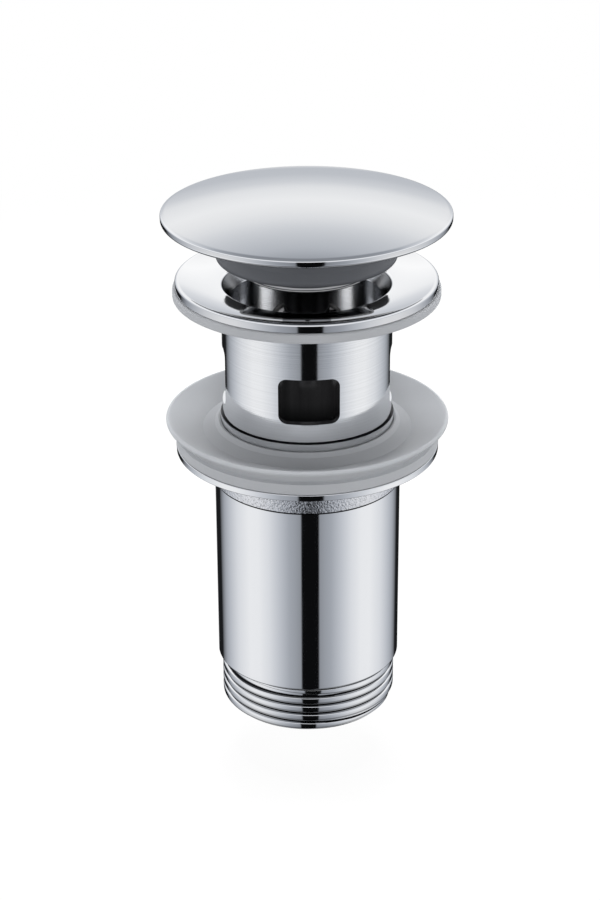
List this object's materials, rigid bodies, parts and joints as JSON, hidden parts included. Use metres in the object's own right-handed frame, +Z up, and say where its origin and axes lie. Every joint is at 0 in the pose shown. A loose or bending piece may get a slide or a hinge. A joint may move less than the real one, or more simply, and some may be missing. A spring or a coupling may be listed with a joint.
{
  "type": "pop up basin waste",
  "caption": "Chrome pop up basin waste: domed push cap on a latching cartridge, slotted overflow body, rubber seals and a flanged threaded tail.",
  "frame": {"origin": "centre of the tail's lower end, which it stands on", "axes": "+Z up along the waste's axis from the tail to the cap; +X to the right and -Y towards the viewer of the picture"},
  "size_m": [0.066, 0.066, 0.1286],
  "materials": {
    "chrome": "polished chrome plate on brass",
    "turned_brass": "turned brass",
    "spring_steel": "stainless steel",
    "pale_rubber": "matte pale grey rubber",
    "dark_rubber": "matte dark grey rubber",
    "black_rubber": "black rubber",
    "black_plastic": "black acetal",
    "white_plastic": "white acetal"
  },
  "bodies": {
    "upper": {"upper_body": "chrome", "flange_gasket": "pale_rubber", "spider": "chrome", "cartridge_base": "turned_brass", "lock_washer": "spring_steel", "lock_nut": "turned_brass", "cartridge_sleeve": "black_plastic", "guide_pins": "spring_steel", "guide_bush": "white_plastic", "stem_ring": "black_rubber", "snap_ring": "spring_steel", "spring": "spring_steel"},
    "plug": {"cap": "chrome", "cap_seal": "dark_rubber", "seal_retainer": "chrome", "plunger": "chrome", "rotor_clip": "spring_steel"},
    "rotor": {"rotor": "white_plastic"},
    "clamp": {"lower_seal": "pale_rubber"},
    "tail": {"tail": "chrome"}
  },
  "joints": [
    {"name": "plug_slide", "type": "slide", "parent": "upper", "child": "plug", "axis": [0, 0, 1], "range_m": [-0.0056, 0], "stiffness_N_per_m": 900, "springref_m": 0.006, "deforming": ["spring"]},
    {"name": "rotor_turn", "type": "hinge", "parent": "plug", "child": "rotor", "pos_m": [0, 0, 0.085], "axis": [0, 0, 1], "range_deg": [-45, 0]},
    {"name": "clamp_slide", "type": "slide", "parent": "upper", "child": "clamp", "axis": [0, 0, 1], "range_m": [-0.0151, 0]},
    {"name": "tail_turn", "type": "hinge", "parent": "clamp", "child": "tail", "pos_m": [0, 0, 0.05], "axis": [0, 0, 1], "range_deg": [-3600, 0]}
  ],
  "couplings": [
    {"joint": "rotor_turn", "follows": "plug_slide", "rad_per_m": 140.2},
    {"joint": "clamp_slide", "follows": "tail_turn", "m_per_rad": 0.00023873}
  ]
}
